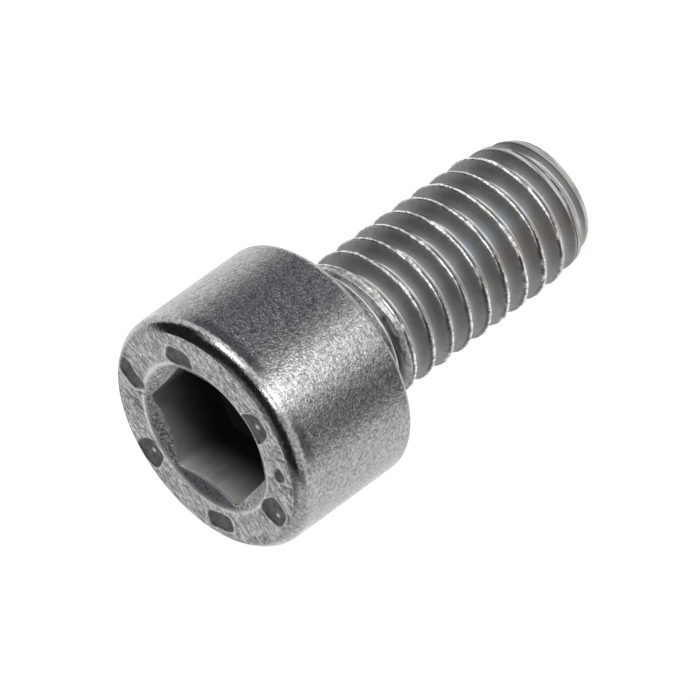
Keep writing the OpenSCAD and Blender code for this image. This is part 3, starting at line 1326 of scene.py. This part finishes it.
@dataclass(frozen=True)
class FloorCard:
    """A flat card on the floor that shows only in the metal's reflections.

    Its azimuths are those of the reflection, from the camera's side towards +X.
    """

    name: str
    first: float
    last: float
    near: float
    far: float
    colour: Colour
    strength: float
    first_feather: float = 6.0
    last_feather: float = 6.0
    lift: float = 0.05

    STEPS = 48
    RINGS = 10
    FAR_FEATHER = 2.0

    def build(self) -> bpy.types.Object:
        """Builds the card as a ring sector with soft edges.

        Returns:
            The card's object.
        """
        points, cover = [], []
        for i in range(self.STEPS + 1):
            angle = self.first + (self.last - self.first) * i / self.STEPS
            a = math.radians(angle)
            first_cover = (angle - self.first) / self.first_feather
            last_cover = (self.last - angle) / self.last_feather
            side = max(min(first_cover, last_cover, 1.0), 0.0)
            for j in range(self.RINGS + 1):
                r = self.near + (self.far - self.near) * j / self.RINGS
                points.append((r * math.sin(a) * MM, -r * math.cos(a) * MM, self.lift * MM))
                cover.append(side * min(float(j), (self.RINGS - j) / self.FAR_FEATHER, 1.0))
        row = self.RINGS + 1
        starts = [i * row + j for i in range(self.STEPS) for j in range(self.RINGS)]
        mesh = bpy.data.meshes.new(self.name)
        mesh.from_pydata(points, [], [(start, start + row, start + row + 1, start + 1) for start in starts])
        mesh.attributes.new("cover", "FLOAT", "POINT").data.foreach_set("value", cover)
        mesh.materials.append(self.paint())
        obj = add_object(self.name, mesh)
        obj.visible_camera = obj.visible_diffuse = obj.visible_shadow = False
        obj.visible_transmission = obj.visible_volume_scatter = False
        return obj

    def paint(self) -> bpy.types.Material:
        """Builds the card's plain glowing paint, clear at its edges.

        Returns:
            The finished material.
        """
        material, wires = bare_material(self.name)
        glow = wires.add("ShaderNodeEmission", {"Color": self.colour, "Strength": self.strength})
        clear = wires.add("ShaderNodeBsdfTransparent")
        inputs = {0: wires.mask("cover"), 1: clear.outputs[0], 2: glow.outputs[0]}
        mixed = wires.add("ShaderNodeMixShader", inputs)
        wires.add("ShaderNodeOutputMaterial", {"Surface": mixed.outputs[0]})
        return material


@dataclass
class Studio:
    """The plain studio: pale floor, soft lamps, sky and the camera at the photograph's angle."""

    roll: float = 35.878
    axis_tilt: float = 59.59
    distance: float = 299.62
    focus_px: float = 8174.0
    frame_px: float = 700.0
    aim: tuple[float, float, float] = (-0.471, -3.146, 12.589)
    floor_size: float = 4000.0
    floor_drop: float = 0.01
    floor_glow: float = 0.8
    tent_azimuth: float = -157.0
    tent_edge: tuple[float, float] = (0.17, 0.41)
    tent_top: tuple[float, float] = (0.78, 0.92)
    tent_level: float = 0.8
    high_azimuth: float = 165.0
    high_edge: tuple[float, float] = (0.4, 0.8)
    high_start: tuple[float, float] = (0.35, 0.6)
    high_level: float = 0.4
    overhead_start: tuple[float, float] = (0.75, 0.95)
    overhead_level: float = 0.32
    front_level: float = 0.03
    horizon_level: float = 0.8
    horizon_top: tuple[float, float] = (0.24, 0.4)
    horizon_edge: tuple[float, float] = (-0.1, -0.5)
    softboxes: tuple[Softbox, ...] = (
        Softbox("back softbox", 180.0, 33.0, 320.0, 300.0, 160.0, 0.2),
        Softbox("top softbox", 0.0, 90.0, 500.0, 500.0, 500.0, 0.2, mirrored=False),
        Softbox("key softbox", 46.0, 13.0, 400.0, 200.0, 130.0, 15.0, mirrored=False),
        Softbox("low strip", 44.0, 7.0, 110.0, 56.0, 20.0, 6.0),
        Softbox("low front strip", -5.0, 8.0, 320.0, 104.0, 80.0, 3.0),
    )
    cards: tuple[FloorCard, ...] = (
        FloorCard("dark card right", 8.0, 118.0, 15.0, 60.0, (0.18, 0.19, 0.21, 1.0), 1.0, 15.0, 30.0),
        FloorCard("dark card left", -80.0, -14.0, 8.0, 60.0, (0.2, 0.205, 0.217, 1.0), 1.0, 20.0, 24.0),
        FloorCard("bright card", -16.0, 12.0, 22.0, 200.0, (1.0, 1.0, 1.02, 1.0), 1.0, 9.0, 10.0, 0.1),
        FloorCard("bright far card", -18.0, 9.0, 31.5, 111.5, (1.0, 1.0, 1.0, 1.0), 4.5, 8.0, 8.0, 0.15),
    )

    def build(self) -> None:
        """Builds the floor, the lamps, the sky and the camera."""
        centre = Vector((0.0, 0.0, SHANK_LENGTH)) * MM
        self.floor()
        for softbox in self.softboxes:
            softbox.build(centre)
        for card in self.cards:
            card.build()
        self.sky()
        self.camera()
        LOG.info("studio: %d lamps, %d cards", len(self.softboxes), len(self.cards))

    def floor(self) -> bpy.types.Object:
        """Builds the pale floor that the bolt stands on.

        Returns:
            The floor's object.
        """
        half, z = self.floor_size / 2 * MM, -self.floor_drop * MM
        mesh = bpy.data.meshes.new("floor")
        corners = [(x * half, y * half, z) for x, y in ((-1, -1), (1, -1), (1, 1), (-1, 1))]
        mesh.from_pydata(corners, [], [(0, 1, 2, 3)])
        mesh.materials.append(self.floor_paint())
        obj = add_object("floor", mesh)
        return obj

    def floor_paint(self) -> bpy.types.Material:
        """Builds a white floor that keeps the bolt's shadow.

        Returns:
            The finished material.
        """
        material, wires = bare_material("floor")
        matt = wires.add("ShaderNodeBsdfDiffuse", {"Color": (0.5, 0.5, 0.5, 1.0)})
        path = wires.add("ShaderNodeLightPath").outputs
        seen = wires.plus(path["Is Camera Ray"], path["Is Glossy Ray"])
        seen = wires.math("ADD", seen, path["Is Transmission Ray"], clamp=True)
        glow = wires.add("ShaderNodeEmission", {"Strength": wires.times(seen, self.floor_glow)})
        both = wires.add("ShaderNodeAddShader", {0: matt.outputs[0], 1: glow.outputs[0]})
        wires.add("ShaderNodeOutputMaterial", {"Surface": both.outputs[0]})
        return material

    def sky(self) -> None:
        """Builds a pale tent behind and beside the bolt, dark in front and dim overhead."""
        world = bpy.data.worlds.new("studio")
        world.use_nodes = True
        bpy.context.scene.world = world
        wires = Wiring(world.node_tree)
        background = next(n for n in world.node_tree.nodes if n.type == "BACKGROUND")
        background.inputs["Color"].default_value = (1.0, 1.0, 1.0, 1.0)
        x, y, z = wires.split(wires.add("ShaderNodeTexCoord").outputs["Generated"])
        flat = wires.larger(wires.math("SQRT", wires.minus(1.0, wires.math("POWER", z, 2.0))), 0.01)
        behind, beside = (wires.over(wires.blended((x, math.sin(turn)), (y, -math.cos(turn))), flat)
                          for turn in (math.radians(self.tent_azimuth), math.radians(self.high_azimuth)))
        below_top = wires.ramp(z, *self.tent_top, 1.0, 0.0)
        tent = wires.times(wires.ramp(behind, *self.tent_edge), below_top, self.tent_level)
        high = wires.ramp(beside, *self.high_edge, self.high_level, 1.0)
        tent = wires.times(tent, wires.mix_value(wires.ramp(z, *self.high_start), 1.0, high))
        overhead = wires.times(wires.ramp(z, *self.overhead_start), self.overhead_level)
        horizon = wires.times(wires.ramp(z, *self.horizon_top, self.horizon_level, 0.0),
                              wires.ramp(wires.over(y, flat), *self.horizon_edge))
        glow = wires.plus(wires.larger(tent, horizon, overhead), self.front_level)
        camera = wires.add("ShaderNodeLightPath").outputs["Is Camera Ray"]
        wires.feed(background.inputs["Strength"], wires.larger(glow, camera))

    def camera(self) -> bpy.types.Object:
        """Builds the camera, rolled as the photograph is.

        Returns:
            The camera's object.
        """
        roll, tilt = math.radians(self.roll), math.radians(self.axis_tilt)
        back = Vector((0.0, -math.sin(tilt), math.cos(tilt)))
        right = Vector((-math.sin(roll), -math.cos(tilt) * math.cos(roll), -math.sin(tilt) * math.cos(roll)))
        up = back.cross(right)
        data = bpy.data.cameras.new("camera")
        data.lens = self.focus_px / self.frame_px * data.sensor_width
        data.clip_start, data.clip_end = 10 * MM, 5000 * MM
        obj = add_object("camera", data)
        turned = Matrix((right, up, back)).transposed().to_4x4()
        obj.matrix_world = Matrix.Translation((Vector(self.aim) + back * self.distance) * MM) @ turned
        bpy.context.scene.camera = obj
        return obj


def declare(obj: bpy.types.Object) -> None:
    """Says that a piece rides on the bolt's body and stands for its CAD node.

    Args:
        obj: the finished piece.
    """
    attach(obj, BODY)
    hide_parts(NODE)


def main() -> None:
    """Builds the studio and the bolt, and reports each piece."""
    logging.basicConfig(level=logging.INFO, format="%(name)s: %(message)s")
    bpy.context.scene.view_settings.view_transform = "Standard"
    Studio().build()
    side = SideFinish("blasted side", (0.54, 0.54, 0.537, 1.0), (0.165, 0.165, 0.17, 1.0), 0.2)
    face = FaceFinish("scratched face", (0.72, 0.715, 0.705, 1.0), (0.1, 0.1, 0.099, 1.0), 0.38)
    walls = SocketFinish("broached walls", (0.4, 0.385, 0.365, 1.0), (0.3, 0.288, 0.272, 1.0), 0.5)
    thread = ThreadFinish("rolled thread", (0.42, 0.41, 0.396, 1.0), (0.3, 0.293, 0.283, 1.0), 0.46)
    declare(Head(side, face, walls).build())
    declare(ThreadedShank(thread).build())


if __name__ == "__main__":
    main()
